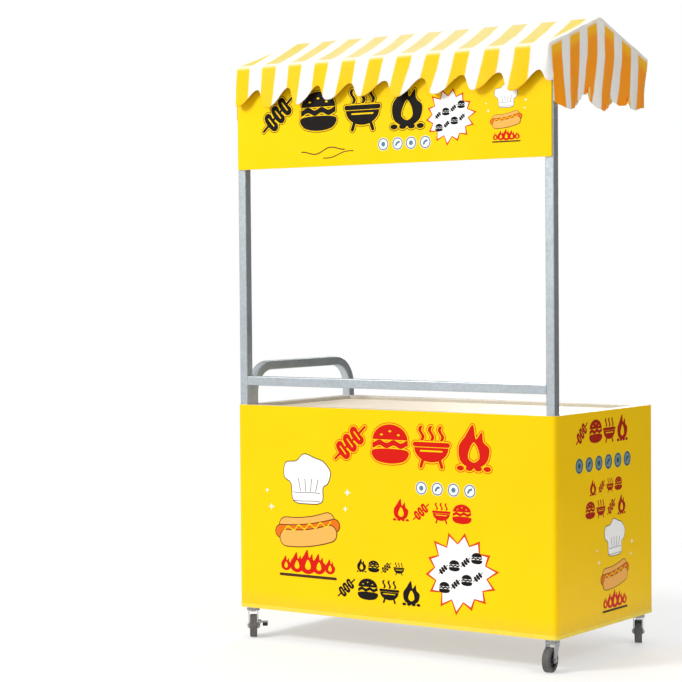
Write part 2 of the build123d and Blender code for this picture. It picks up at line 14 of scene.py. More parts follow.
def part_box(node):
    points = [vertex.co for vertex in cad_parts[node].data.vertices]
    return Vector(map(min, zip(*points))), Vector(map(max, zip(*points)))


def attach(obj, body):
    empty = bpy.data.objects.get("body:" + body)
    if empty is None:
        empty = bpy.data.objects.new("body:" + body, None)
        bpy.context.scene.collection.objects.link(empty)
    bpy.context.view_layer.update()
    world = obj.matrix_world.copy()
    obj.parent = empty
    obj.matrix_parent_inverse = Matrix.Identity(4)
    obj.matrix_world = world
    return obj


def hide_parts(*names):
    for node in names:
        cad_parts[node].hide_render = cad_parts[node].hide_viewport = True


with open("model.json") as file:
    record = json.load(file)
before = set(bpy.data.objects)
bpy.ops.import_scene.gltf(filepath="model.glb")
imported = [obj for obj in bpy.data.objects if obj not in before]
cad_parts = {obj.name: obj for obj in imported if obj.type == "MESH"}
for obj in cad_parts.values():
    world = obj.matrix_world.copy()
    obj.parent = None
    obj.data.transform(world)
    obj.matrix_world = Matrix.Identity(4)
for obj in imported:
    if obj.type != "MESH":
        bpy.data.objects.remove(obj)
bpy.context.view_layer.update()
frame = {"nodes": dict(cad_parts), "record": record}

# ---- Places taken from the frame ----
wrap_low, wrap_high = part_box("printed_wrap")
sign_low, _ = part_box("sign_board")
roof_low, roof_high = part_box("canopy_roof")
_, gable_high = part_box("canopy_gable_right")
post_low, post_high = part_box("post_right")
rail_low, rail_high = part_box("guard_rail")
handle_low, handle_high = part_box("push_handle")
ridge_low, ridge_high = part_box("canopy_ridge_tube")

front_y = wrap_low[1]
back_y = wrap_high[1]
half_width = wrap_high[0]
base_z = wrap_low[2]
rim_z = wrap_high[2]
sign_y = sign_low[1]
eave_front = roof_low[1]
eave_back = roof_high[1]
ridge_y = (ridge_low[1] + ridge_high[1]) / 2
ridge_z = roof_high[2]
roof_half = gable_high[0]
RIDGE_RISE = 0.106
eave_z = ridge_z - RIDGE_RISE


# ---- Colours (linear) ----
def srgb(r, g, b):
    """Linear colour of an 8-bit sRGB triple."""
    def one(v):
        v = v / 255
        return v / 12.92 if v <= 0.04045 else ((v + 0.055) / 1.055) ** 2.4
    return (one(r), one(g), one(b), 1.0)


YELLOW = srgb(253, 206, 0)
# Painted highlight: the paler yellow of the skin's foot strip stands for floor light caught by the
# hem's curved-under edge.
YELLOW_PAINTED_FLOOR_HIGHLIGHT = srgb(252, 222, 70)
STRIPE = srgb(252, 196, 2)
# Painted light: the roof stripes above the eave take a duller tone for the grazing light on the slope.
STRIPE_ROOF_PAINTED_LIGHT = srgb(226, 200, 40)
# Gable stripes are painted for lighting, deeper than the valance's yellow: the upper tone is painted
# light shining through the cloth, the lower tone is painted shade on the gable end.
GABLE_STRIPE_PAINTED_BACKLIGHT = srgb(255, 184, 12)
GABLE_STRIPE_PAINTED_SHADE = srgb(255, 154, 10)
CLOTH_WHITE = srgb(246, 243, 236)
CLOTH_INNER = srgb(244, 226, 186)
CREAM = srgb(246, 233, 208)
STEEL = (0.52, 0.57, 0.60, 1.0)
ZINC = (0.43, 0.44, 0.46, 1.0)
PRINT_SPECULAR = 0.12


# ---- Shader building ----
class Shader:
    """A material under construction: its nodes, links and principled shader."""

    def __init__(self, name, roughness=0.5, metallic=0.0, specular=0.5):
        self.material = bpy.data.materials.new(name)
        self.material.use_nodes = True
        self.tree = self.material.node_tree
        self.bsdf = self.tree.nodes["Principled BSDF"]
        self.bsdf.inputs["Roughness"].default_value = roughness
        self.bsdf.inputs["Metallic"].default_value = metallic
        self.bsdf.inputs["Specular IOR Level"].default_value = specular
        self.coords = self.tree.nodes.new("ShaderNodeTexCoord")
        self.place = self.coords.outputs["Object"]

    def node(self, kind, inputs=None, **settings):
        """Add a node, set its properties, and fill or link its inputs."""
        made = self.tree.nodes.new(kind)
        for key, value in settings.items():
            setattr(made, key, value)
        for key, value in (inputs or {}).items():
            self.feed(made.inputs[key], value)
        return made

    def feed(self, socket, value):
        """Link an output to a socket, or set its value."""
        if isinstance(value, bpy.types.NodeSocket):
            self.tree.links.new(value, socket)
        else:
            socket.default_value = value

    def noise(self, scale, detail=3.0, roughness=0.55, vector=None):
        """Noise factor in the object's own coordinates."""
        where = vector or self.place
        inputs = {"Vector": where, "Scale": scale, "Detail": detail, "Roughness": roughness}
        return self.node("ShaderNodeTexNoise", inputs).outputs["Fac"]

    def math(self, operation, a, b=0.0):
        """One maths step."""
        return self.node("ShaderNodeMath", {0: a, 1: b}, operation=operation).outputs[0]

    def ramp(self, value, low, high, out_low=0.0, out_high=1.0):
        """Smooth step of a value between two limits."""
        made = self.node(
            "ShaderNodeMapRange",
            {"Value": value, "From Min": low, "From Max": high, "To Min": out_low, "To Max": out_high},
            interpolation_type="SMOOTHSTEP",
        )
        return made.outputs["Result"]

    def mix(self, factor, a, b):
        """Mix two colours."""
        made = self.node("ShaderNodeMix", data_type="RGBA")
        self.feed(made.inputs[0], factor)
        self.feed(made.inputs[6], a)
        self.feed(made.inputs[7], b)
        return made.outputs[2]

    def height(self):
        """Height in the object's own coordinates."""
        return self.node("ShaderNodeSeparateXYZ", {0: self.place}).outputs[2]

    def bump(self, height, strength, distance):
        """Bump the shader's normal by a height."""
        made = self.node(
            "ShaderNodeBump", {"Height": height, "Strength": strength, "Distance": distance}
        )
        self.feed(self.bsdf.inputs["Normal"], made.outputs["Normal"])

    def colour(self, value):
        """Set or link the base colour."""
        self.feed(self.bsdf.inputs["Base Color"], value)

    def rough(self, value):
        """Set or link the roughness."""
        self.feed(self.bsdf.inputs["Roughness"], value)


def darker(colour, factor):
    """The same colour, scaled."""
    return (*(part * factor for part in colour[:3]), 1.0)


def film_material(name, colour, roughness=0.34):
    """Printed self-adhesive film: slight tone drift, fine orange peel, dust near its foot."""
    s = Shader(name, roughness, specular=PRINT_SPECULAR)
    drift = s.noise(2.2, 4.0)
    tone = s.mix(s.ramp(drift, 0.3, 0.75), darker(colour, 0.94), colour)
    dust = s.math("MULTIPLY", s.ramp(s.height(), base_z + 0.07, base_z, 0.0, 0.35), s.noise(38.0))
    s.colour(s.mix(dust, tone, srgb(176, 150, 92)))
    s.rough(s.ramp(s.noise(9.0, 5.0), 0.3, 0.8, roughness - 0.06, roughness + 0.12))
    peel = s.math("ADD", s.noise(260.0, 2.0), s.math("MULTIPLY", s.noise(5.0, 2.0), 6.0))
    s.bump(peel, 0.12, 0.0006)
    return s.material


def ink_material(name, colour, roughness=0.36):
    """Printed ink: even, with faint screen grain."""
    s = Shader(name, roughness, specular=PRINT_SPECULAR)
    grain = s.noise(420.0, 2.0)
    s.colour(s.mix(s.ramp(grain, 0.35, 0.65), darker(colour, 0.93), colour))
    s.rough(s.ramp(s.noise(30.0), 0.3, 0.7, roughness - 0.04, roughness + 0.08))
    s.bump(s.noise(300.0, 2.0), 0.06, 0.0003)
    return s.material


def galvanised_material(name="galvanised_steel", base=STEEL, metallic=0.92):
    """Zinc-dipped tube: fine spangle, dull patches and a rolled grain."""
    s = Shader(name, 0.4, metallic)
    cells = s.node("ShaderNodeTexVoronoi", {"Vector": s.place, "Scale": 150.0})
    spangle = s.ramp(cells.outputs["Color"], 0.1, 0.9)
    cloudy = s.noise(9.0, 5.0)
    tone = s.mix(spangle, darker(base, 0.95), darker(base, 1.05))
    s.colour(s.mix(s.ramp(cloudy, 0.45, 0.8, 0.0, 0.35), tone, darker(base, 0.9)))
    s.rough(s.ramp(s.math("ADD", s.math("MULTIPLY", spangle, 0.2), cloudy), 0.3, 1.0, 0.34, 0.48))
    s.bump(s.math("ADD", s.noise(700.0, 2.0), s.noise(60.0, 3.0)), 0.06, 0.0003)
    return s.material


def zinc_material(name="bright_zinc", roughness=0.28):
    """Bright zinc-plated pressed steel with handling scuffs."""
    s = Shader(name, roughness, 0.9)
    scuff = s.noise(120.0, 6.0, 0.7)
    s.colour(s.mix(s.ramp(scuff, 0.5, 0.75), ZINC, darker(ZINC, 0.6)))
    s.rough(s.ramp(scuff, 0.3, 0.8, roughness, roughness + 0.3))
    s.bump(s.noise(500.0, 2.0), 0.12, 0.0003)
    return s.material


def laminate_material():
    """Cream laminate: fine speckle, faint wipe marks and a soft gloss."""
    s = Shader("cream_laminate", 0.3)
    speck = s.node("ShaderNodeTexVoronoi", {"Vector": s.place, "Scale": 420.0})
    dots = s.ramp(speck.outputs["Distance"], 0.16, 0.3, 0.14, 0.0)
    tone = s.mix(s.ramp(s.noise(5.0, 4.0), 0.3, 0.7), darker(CREAM, 0.98), CREAM)
    s.colour(s.mix(dots, tone, srgb(196, 168, 128)))
    s.rough(s.ramp(s.noise(18.0, 6.0), 0.3, 0.75, 0.34, 0.44))
    s.bump(s.noise(500.0, 2.0), 0.05, 0.0003)
    return s.material


def board_material(name, colour, grain=True):
    """White foam board or plain storage board with a faint linear grain."""
    s = Shader(name, 0.55)
    stretch = s.node(
        "ShaderNodeMapping", {"Vector": s.place, "Scale": (3.0, 40.0, 40.0)}
    )
    line = s.noise(3.0 if grain else 1.0, 5.0, 0.6, stretch.outputs["Vector"])
    marks = s.ramp(s.noise(22.0, 6.0, 0.65), 0.55, 0.8, 0.0, 0.25)
    tone = s.mix(s.ramp(line, 0.3, 0.7), darker(colour, 0.88 if grain else 0.97), colour)
    s.colour(s.mix(marks, tone, darker(colour, 0.72)))
    s.rough(s.ramp(s.noise(12.0), 0.3, 0.7, 0.42, 0.62))
    s.bump(s.noise(350.0, 3.0), 0.1, 0.0003)
    return s.material


def rubber_material(name, colour, scuffed=True):
    """Moulded rubber or plastic: fine pebbling, floor dust on the running surface."""
    s = Shader(name, 0.72)
    dust = s.ramp(s.noise(55.0, 6.0, 0.7), 0.45, 0.75, 0.0, 0.4 if scuffed else 0.15)
    s.colour(s.mix(dust, colour, srgb(128, 122, 116)))
    s.rough(s.ramp(s.noise(80.0), 0.3, 0.7, 0.6, 0.85))
    s.bump(s.noise(900.0, 2.0), 0.25, 0.0003)
    return s.material


def cloth_material(name, pitch, phase, share, gable=False, inner=False):
    """Coated striped cloth. UV holds the flat cut in metres; hem holds metres to the free edge."""
    s = Shader(name, 0.6, specular=PRINT_SPECULAR)
    uv = s.node("ShaderNodeSeparateXYZ", {0: s.coords.outputs["UV"]})
    across = uv.outputs[0]
    wobble = s.math("MULTIPLY", s.math("SUBTRACT", s.noise(14.0, 2.0), 0.5), 0.006)
    turns = s.math("DIVIDE", s.math("SUBTRACT", s.math("ADD", across, wobble), phase), pitch)
    wave = s.math("COSINE", s.math("MULTIPLY", turns, 2 * math.pi))
    edge = math.cos(math.pi * share)
    band = s.ramp(wave, edge - 0.22, edge + 0.22)
    fade = s.node("ShaderNodeAttribute", attribute_name="fade").outputs["Fac"]
    patch = s.ramp(s.noise(6.0, 3.0), 0.3, 0.7, 0.98, 1.0)
    strength = s.math("MULTIPLY", s.math("MULTIPLY", band, fade), patch)
    if gable:
        # Painted light and shade: gable stripes are lighter just below the rake and darker amber lower
        # down.
        ink = s.mix(s.ramp(uv.outputs[1], 0.022, 0.056), GABLE_STRIPE_PAINTED_BACKLIGHT, GABLE_STRIPE_PAINTED_SHADE)
    else:
        # Painted light: the same stripe ink turns to a duller tone above the eave, for the grazing
        # light on the roof slope.
        ink = s.mix(s.ramp(s.height(), eave_z - 0.004, eave_z + 0.012), STRIPE, STRIPE_ROOF_PAINTED_LIGHT)
    ground = CLOTH_INNER if inner else CLOTH_WHITE
    mottled = s.mix(s.ramp(s.noise(7.0, 4.0), 0.35, 0.7), darker(ground, 0.92), ground)
    shown = s.math("MULTIPLY", strength, 0.45) if inner else strength
    s.colour(s.mix(shown, mottled, ink))
    warp = s.node("ShaderNodeTexWave", {"Vector": s.coords.outputs["UV"], "Scale": 420.0})
    weft = s.node(
        "ShaderNodeTexWave", {"Vector": s.coords.outputs["UV"], "Scale": 420.0}, bands_direction="Y"
    )
    weave = s.math("ADD", warp.outputs["Fac"], weft.outputs["Fac"])
    hem = s.node("ShaderNodeAttribute", attribute_name="hem").outputs["Fac"]
    dash = s.math("SINE", s.math("MULTIPLY", across, 2 * math.pi / 0.006))
    off_line = s.math("ABSOLUTE", s.math("SUBTRACT", hem, 0.012))
    stitch = s.math("MULTIPLY", s.ramp(off_line, 0.0011, 0.0005), s.ramp(dash, -0.2, 0.1))
    creases = s.noise(26.0, 5.0, 0.6)
    height = s.math("ADD", s.math("MULTIPLY", weave, 0.03), s.math("MULTIPLY", creases, 1.6))
    s.bump(s.math("SUBTRACT", height, s.math("MULTIPLY", stitch, 1.5)), 0.35, 0.0008)
    for socket, value in (
        ("Sheen Weight", 0.03), ("Subsurface Weight", 0.2), ("Subsurface Scale", 0.3),
        ("Subsurface Radius", (0.01, 0.008, 0.004)),
    ):
        s.bsdf.inputs[socket].default_value = value
    return s.material


# ---- Mesh helpers ----
def linked(name, data):
    """A new object in the scene."""
    made = bpy.data.objects.new(name, data)
    bpy.context.collection.objects.link(made)
    return made


def solid_object(name, bm, material, body="cart", smooth=False):
    """Turn a finished bmesh into an object with its material, on a body."""
    mesh = bpy.data.meshes.new(name)
    bm.to_mesh(mesh)
    bm.free()
    made = linked(name, mesh)
    mesh.materials.append(material)
    if smooth:
        mesh.polygons.foreach_set("use_smooth", [True] * len(mesh.polygons))
    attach(made, body)
    return made


def turned(points, cx, cz, angle):
    """Points turned by an angle in degrees, then moved to a centre."""
    c, s = math.cos(math.radians(angle)), math.sin(math.radians(angle))
    return [(cx + x * c - z * s, cz + x * s + z * c) for x, z in points]


def grid_mesh(name, points, uv, hem, fade, thickness, materials):
    """A cloth from rows by columns of points, thickened inwards; its inner side is plainer."""
    rows, columns, _ = points.shape
    mesh = bpy.data.meshes.new(name)
    index = np.arange(rows * columns).reshape(rows, columns)
    faces = np.stack([index[:-1, :-1], index[:-1, 1:], index[1:, 1:], index[1:, :-1]], axis=-1)
    mesh.from_pydata(points.reshape(-1, 3).tolist(), [], faces.reshape(-1, 4).tolist())
    layer = mesh.uv_layers.new(name="flat")
    loops = np.zeros(len(mesh.loops), dtype=np.int32)
    mesh.loops.foreach_get("vertex_index", loops)
    layer.data.foreach_set("uv", uv.reshape(-1, 2)[loops].ravel())
    for label, values in (("hem", hem), ("fade", fade)):
        attribute = mesh.attributes.new(label, "FLOAT", "POINT")
        attribute.data.foreach_set("value", values.ravel().astype(np.float32))
    for material in materials:
        mesh.materials.append(material)
    made = linked(name, mesh)
    solid = made.modifiers.new("thickness", "SOLIDIFY")
    solid.thickness = thickness
    solid.offset = -1
    solid.material_offset = 1
    solid.material_offset_rim = 1
    graph = bpy.context.evaluated_depsgraph_get()
    thick = bpy.data.meshes.new_from_object(made.evaluated_get(graph))
    made.modifiers.clear()
    made.data = thick
    thick.polygons.foreach_set("use_smooth", [True] * len(thick.polygons))
    return made


def blend_steps(x, places, values):
    """Smooth interpolation through a few values."""
    x = np.asarray(x, dtype=float)
    places = np.asarray(places)
    values = np.asarray(values)
    i = np.clip(np.searchsorted(places, x) - 1, 0, len(places) - 2)
    t = np.clip((x - places[i]) / (places[i + 1] - places[i]), 0, 1)
    t = t * t * (3 - 2 * t)
    return values[i] * (1 - t) + values[i + 1] * t


def wavy(x, seed, scale):
    """Seeded smooth noise along a line, as a short sum of sines."""
    rng = np.random.default_rng(seed)
    total = np.zeros_like(x)
    for k in range(1, 6):
        total += rng.uniform(0.4, 1.0) / k * np.sin(2 * math.pi * k * x / scale + rng.uniform(0, 6.28))
    return total


# ---- Canopy ----
CLOTH = 0.0012
CORNER = 0.03
CORNER_TIGHT = 0.008
EDGE_LOW = 0.03
SLOPE_LENGTH = math.hypot(ridge_y - eave_front, RIDGE_RISE)
HANG_ROWS = 20
STRIPE_END = 0.578
STRIPE_PITCH = 0.1053
STRIPE_PHASE = -0.544
STRIPE_SHARE = 0.52
GABLE_PITCH = 0.1106
GABLE_PHASE = -0.289
GABLE_SHARE = 0.56
ROOF_LEAN = 0.090
NOTCH_DEPTH = 0.076
# Scallops of the front valance: where each begins, and how far its lobe hangs below the eave
NOTCHES = (-0.606, -0.490, -0.365, -0.248, -0.122, 0.011, 0.147, 0.295, 0.424, 0.566, 0.660)
LOBES = (0.126, 0.138, 0.133, 0.124, 0.120, 0.130, 0.128, 0.124, 0.134, 0.110)
# Share of a scallop's width, and share of its lobe's depth, along one lobe
LOBE_SHAPE = (
    (0.0, 0.0), (0.08, 0.06), (0.16, 0.78), (0.26, 1.0), (0.42, 0.97), (0.60, 0.70), (0.78, 0.26),
    (0.92, 0.02),
)
LEAN_PLACES = (-0.60, -0.40, -0.15, 0.10, 0.35, 0.60)
LEAN = (0.012, 0.018, 0.034, 0.044, 0.036, 0.012)
# Gable hem: distance behind the front eave, and depth below the eave
GABLE_HEM = (
    (0.0, 0.150), (0.040, 0.174), (0.076, 0.186), (0.113, 0.189), (0.146, 0.182), (0.156, 0.160),
    (0.192, 0.156), (0.201, 0.140), (0.223, 0.137), (0.238, 0.150), (0.276, 0.174), (0.325, 0.183),
    (0.364, 0.169), (0.378, 0.122), (0.395, 0.147), (0.441, 0.159), (0.472, 0.156), (0.490, 0.164),
    (0.539, 0.168), (0.581, 0.158), (0.640, 0.153),
)
GABLE_LEAN_PLACES = (-0.34, -0.18, -0.07, 0.05, 0.16, 0.31)
GABLE_LEAN = (0.024, -0.016, -0.052, -0.048, -0.034, 0.0)
# Turned-up stretches of the gable hem: distance behind the front eave, half width, height
GABLE_TURNS = ((0.234, 0.012, 0.022), (0.333, 0.010, 0.014), (0.484, 0.014, 0.024))


def soften(values, reach):
    """Running average, with the ends held."""
    kernel = np.hanning(2 * reach + 3)[1:-1]
    padded = np.pad(values, reach, mode="edge")
    return np.convolve(padded, kernel / kernel.sum(), mode="valid")


def scallops(x):
    """Depth of the front valance's hem below the eave along X."""
    places = []
    depths = []
    for start, end, lobe in zip(NOTCHES[:-1], NOTCHES[1:], LOBES):
        for width, share in LOBE_SHAPE:
            places.append(start + width * (end - start))
            depths.append(NOTCH_DEPTH + share * (lobe - NOTCH_DEPTH))
    return soften(np.interp(x, places, depths), 3)


def roof_profile(count):
    """Rounded cross-section from just under the front eave, over the ridge, to the back eave."""
    corners = np.array([
        [eave_front, eave_z - EDGE_LOW], [eave_front, eave_z], [ridge_y, ridge_z],
        [eave_back, eave_z], [eave_back, eave_z - EDGE_LOW],
    ])
    lengths = np.concatenate([[0], np.cumsum(np.linalg.norm(np.diff(corners, axis=0), axis=1))])
    fine = np.linspace(0, lengths[-1], 1200)
    line = [soften(np.interp(fine, lengths, corners[:, k]), 20) for k in (0, 1)]
    s = np.linspace(0, lengths[-1], count)
    return s, np.stack([np.interp(s, fine, part) for part in line], axis=1)


def corner_bend(s_across, drop):
    """X and set-back of the cloth round its end corners: tight at the eave frame, rounder below."""
    radius = CORNER_TIGHT + (CORNER - CORNER_TIGHT) * np.clip((drop - 0.028) / 0.06, 0, 1)
    straight = roof_half - radius
    reach = roof_half + CORNER * (math.pi / 2 - 1)
    turn = np.clip((np.abs(s_across) - straight) / (reach - straight), 0, 1) * math.pi / 2
    x = np.where(turn > 0, straight + (radius - 0.0008) * np.sin(turn), np.abs(s_across))
    return np.sign(s_across) * x, radius * (1 - np.cos(turn))


def hang_lean(s_across, drop):
    """How far the stripes of a valance have slipped sideways at a drop below the eave."""
    return blend_steps(s_across, LEAN_PLACES, LEAN) * (np.maximum(drop, 0) / 0.12) ** 1.15


def valance_rows(side, s_across, depth):
    """Rows of one valance, from its hem up to the rounded eave."""
    rows, flats, hems, fades = [], [], [], []
    ripple = wavy(s_across, 3 if side < 0 else 4, 0.31)
    edge = eave_front if side < 0 else eave_back
    inside = np.clip((roof_half - CORNER - np.abs(s_across)) / 0.05, 0, 1)
    for i in range(HANG_ROWS):
        drop = EDGE_LOW + (depth - EDGE_LOW) * (1 - i / HANG_ROWS)
        x, recede = corner_bend(s_across, drop)
        out = (depth - 0.1) / 0.03 * 0.006 * (drop / 0.13) ** 1.5
        sway = 0.002 * ripple * (drop / 0.12) - 0.005 * (drop / 0.13) ** 2
        y = edge + side * ((out + sway) * inside - recede)
        lean = hang_lean(s_across, drop)
        rows.append(np.stack([x, y, eave_z - drop], axis=1))
        flats.append(np.stack([s_across + lean, -drop], axis=1))
        hems.append(depth - drop)
        fades.append(np.clip((STRIPE_END - np.abs(s_across + lean)) / 0.008, 0, 1))
    return rows, flats, hems, fades


def build_roof(materials):
    """One sheet from the front valance's hem over the ridge to the back valance's hem."""
    straight = roof_half - CORNER
    reach = straight + CORNER * math.pi / 2
    s_across = np.concatenate([
        np.linspace(-reach, -straight, 17)[:-1], np.linspace(-straight, straight, 441),
        np.linspace(straight, reach, 17)[1:],
    ])
    front_depth = scallops(s_across)
    back_depth = scallops(-s_across)
    rows, flats, hems, fades = valance_rows(-1, s_across, front_depth)
    s_along, profile = roof_profile(120)
    x, recede = corner_bend(s_across, 0.0)
    hold = np.clip((roof_half - np.abs(x)) / 0.12, 0, 1)
    rake = np.clip((roof_half - np.abs(x) - 0.016) / 0.016, 0, 1)
    swell = 1 + 0.35 * wavy(x, 11, 0.5)
    for (y, z), s in zip(profile, s_along):
        along = s - EDGE_LOW
        t = np.clip(along / SLOPE_LENGTH, 0, 2)
        from_eave = along if t < 1 else 2 * SLOPE_LENGTH - along
        sag = math.sin(math.pi * (t % 1.0)) if 0 < t < 2 else 0.0
        dip = 0.0045 * sag * hold * swell
        pull = 0.0012 * sag * wavy(x + 0.15 * t, 12, 0.17)
        square = np.clip(-from_eave / 0.004, 0, 1)
        side = -1 if t < 1 else 1
        rows.append(np.stack([x, y - side * recede * square, z - dip + pull], axis=1))
        lean = ROOF_LEAN * max(t if t < 1 else 2 - t, 0) + hang_lean(s_across, -from_eave)
        flats.append(np.stack([s_across + lean, np.full(len(x), along)], axis=1))
        hems.append(np.ones(len(x)))
        near = min(from_eave - 0.008, abs(along - SLOPE_LENGTH) * 2)
        tone = 0.12 + 0.80 * np.clip(near / 0.03, 0, 1)
        if from_eave < 0.004:
            tone = 1.0 - 0.88 * np.clip((from_eave + 0.008) / 0.012, 0, 1)
            fades.append(tone * np.clip((STRIPE_END - np.abs(s_across + lean)) / 0.008, 0, 1))
        else:
            fades.append(tone * rake * (1 - 0.25 * hold * (1 - (x / roof_half) ** 2)))
    back = valance_rows(1, s_across, back_depth)
    rows += back[0][::-1]
    flats += [f * (1, -1) + (0, 2 * SLOPE_LENGTH) for f in back[1][::-1]]
    hems += back[2][::-1]
    fades += back[3][::-1]
    sheet = grid_mesh(
        "canopy_roof_cloth", np.stack(rows), np.stack(flats), np.stack(hems), np.stack(fades),
        CLOTH, materials,
    )
    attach(sheet, "cart")
    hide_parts("canopy_roof")


def turned_hem(out, z, y, hem, hem_z):
    """Roll the last stretch of a hanging hem outwards and up where it is turned."""
    radius = 0.0028
    roll = math.pi * 0.93
    fold = np.zeros_like(y)
    for place, half, height in GABLE_TURNS:
        t = np.clip(1 - np.abs(y - eave_front - place) / half, 0, 1)
        fold = np.maximum(fold, height * t ** 0.8)
    past = np.maximum(fold - hem, 0)
    angle = np.clip(past / radius, 0, roll)
    straight = np.maximum(past - radius * roll, 0)
    rolled = past > 0
    new_z = hem_z + fold - radius * np.sin(angle) - straight * math.cos(roll)
    new_out = out + radius * (1 - np.cos(angle)) + straight * math.sin(roll)
    return np.where(rolled, new_out, out), np.where(rolled, new_z, z)


def build_gable(side, materials):
    """One gable end: flat against its rafters above, hanging in loose folds below the eave."""
    half_depth = (eave_back - eave_front) / 2
    across = np.linspace(-1, 1, 261)
    wide = half_depth - 0.002
    y_hem = ridge_y + across * (half_depth - CORNER + 0.001)
    places = [eave_front + place for place, _ in GABLE_HEM]
    depth = soften(np.interp(y_hem, places, [deep for _, deep in GABLE_HEM]), 2)
    _, profile = roof_profile(400)
    upper = profile[:, 1] > eave_z - 0.02
    y_top = ridge_y + across * wide
    top = np.interp(y_top, profile[upper, 0], profile[upper, 1]) - CLOTH
    top = np.minimum(top, eave_z + RIDGE_RISE * (1 - np.abs(y_top - ridge_y) / half_depth))
    hem_z = eave_z - depth
    fold = 0.55 * np.sin(2 * math.pi * (y_hem - eave_front) / 0.205 - 1.1)
    fold = fold + 0.45 * wavy(y_hem, 21 + side, 0.22)
    ends = np.clip((1 - np.abs(across)) / 0.10, 0, 1)
    shares = np.concatenate([np.linspace(0, 0.84, 48)[:-1], np.linspace(0.84, 1, 36)])
    rows, flats, hems, fades = [], [], [], []
    for t in shares:
        z = top + (hem_z - top) * t
        drop = eave_z - z
        inset = np.interp(drop, (0.0, 0.028, 0.088), (0.002, 0.007, CORNER - 0.001))
        y = ridge_y + across * (half_depth - inset)
        below = np.clip((drop - 0.012) / 0.17, 0, None)
        lean = blend_steps(y, GABLE_LEAN_PLACES, GABLE_LEAN) * below ** 1.1
        out = 0.0105 * below ** 1.25 * fold * ends + 0.005 * below * ends
        out = out + 0.0006 * wavy(y + z, 31, 0.2) * ends - 0.0012 * np.clip((z - eave_z) / 0.1, 0, 1)
        hem = z - hem_z
        turned_out, turned_z = turned_hem(out, z, y, hem, hem_z)
        rows.append(np.stack([side * (roof_half + turned_out), y, turned_z], axis=1))
        flats.append(np.stack([y - lean, top - z], axis=1))
        hems.append(hem)
        fades.append(np.clip((top - z - 0.004) / 0.010, 0, 1))
    parts = [np.stack(part)[::-1] for part in (rows, flats, hems, fades)]
    if side < 0:
        parts = [part[:, ::-1] for part in parts]
    hand = "right" if side > 0 else "left"
    sheet = grid_mesh(f"canopy_gable_cloth_{hand}", *parts, CLOTH, materials)
    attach(sheet, "cart")
    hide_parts(f"canopy_gable_{hand}")


# ---- Printed panels: thin plates of ink, stacked by layer ----
INK_STEP = 0.00022
INK_SKEW = 0.00002
UNSCORED = 1e-5  # grown too little to see, but enough to leave out the fine score lines
INK_COLOURS = {
    "red": srgb(210, 22, 8),
    "dark_red": srgb(168, 28, 10),
    "black": srgb(22, 16, 16),
    "white": srgb(248, 248, 246),
    "blue_grey": srgb(92, 128, 150),
    "steel_blue": srgb(120, 148, 150),
    "dark_blue": srgb(52, 84, 104),
    "red_orange": srgb(214, 70, 14),
    "sausage": srgb(232, 112, 22),
    "bun": srgb(246, 178, 88),
    "outline": srgb(70, 44, 30),
    "yellow_ink": srgb(255, 206, 0),
    "score": YELLOW,
}
middle_y = (front_y + back_y) / 2
# For each panel: its origin, the direction of its own X, and the direction that it faces
PANELS = {
    "front": ((0, front_y), (1, 0), (0, -1)),
    "right": ((half_width, middle_y), (0, 1), (1, 0)),
    "left": ((-half_width, middle_y), (0, -1), (-1, 0)),
    "sign": ((0, sign_y), (1, 0), (0, -1)),
}
prints = {}


def grown(loop, amount):
    """The same outline moved outwards by an amount, or inwards where it is negative."""
    points = np.array(loop, dtype=float)
    ahead = np.roll(points, -1, axis=0) - np.roll(points, 1, axis=0)
    ahead /= np.maximum(np.linalg.norm(ahead, axis=1), 1e-9)[:, None]
    after = np.roll(points, -1, axis=0)
    turning = np.sum(points[:, 0] * after[:, 1] - after[:, 0] * points[:, 1])
    normal = np.stack([ahead[:, 1], -ahead[:, 0]], axis=1) * math.copysign(1, turning)
    return (points + normal * amount).tolist()


def ink(panel, colour, layer, *loops, grow=0.0):
    """Queue one shape, an outline with any holes, for a panel in one colour and layer."""
    if grow:
        loops = [grown(loop, grow if k == 0 else -grow) for k, loop in enumerate(loops)]
    prints.setdefault((panel, colour), []).append((layer, loops))


class Pen:
    """Where and how a sign is drawn: its panel, colour, layer and how much it is grown."""

    def __init__(self, panel, colour, layer, grow=0.0):
        self.panel = panel
        self.colour = colour
        self.layer = layer
        self.grow = grow

    def fill(self, *loops):
        """Draw one solid shape."""
        ink(self.panel, self.colour, self.layer, *loops, grow=self.grow)

    def score(self, loop):
        """Draw a line of bare film over the sign."""
        if not self.grow:
            ink(self.panel, "score", self.layer + 1, loop)


def capsule(cx, cz, length, radius, angle, bend=0.0):
    """Outline of a rounded bar, or of a sausage when it is bent."""
    half = length / 2 - radius
    steps = 14
    caps = 8
    shares = [-1 + 2 * i / steps for i in range(steps + 1)]
    spine = [np.array([half * u, bend * (1 - u * u)]) for u in shares]
    left = []
    right = []
    for i, p in enumerate(spine):
        ahead = spine[min(i + 1, steps)] - spine[max(i - 1, 0)]
        normal = np.array([-ahead[1], ahead[0]]) / np.linalg.norm(ahead)
        left.append(p + normal * radius)
        right.append(p - normal * radius)

    def cap(middle, direction):
        """Half circle round one end."""
        start = math.atan2(direction[1], direction[0])
        angles = [start - math.pi * k / caps for k in range(1, caps)]
        return [middle + radius * np.array([math.cos(a), math.sin(a)]) for a in angles]

    outline = left + cap(spine[-1], left[-1] - spine[-1])
    outline += right[::-1] + cap(spine[0], right[0] - spine[0])
    return turned(outline, cx, cz, angle)


def ring_loop(cx, cz, rx, rz=None, count=40, start=0.0, stop=2 * math.pi):
    """Ellipse outline, or an arc of one."""
    rz = rz or rx
    whole = abs(stop - start - 2 * math.pi) < 1e-9
    last = count if whole else count + 1
    angles = [start + (stop - start) * i / count for i in range(last)]
    return [(cx + rx * math.cos(a), cz + rz * math.sin(a)) for a in angles]


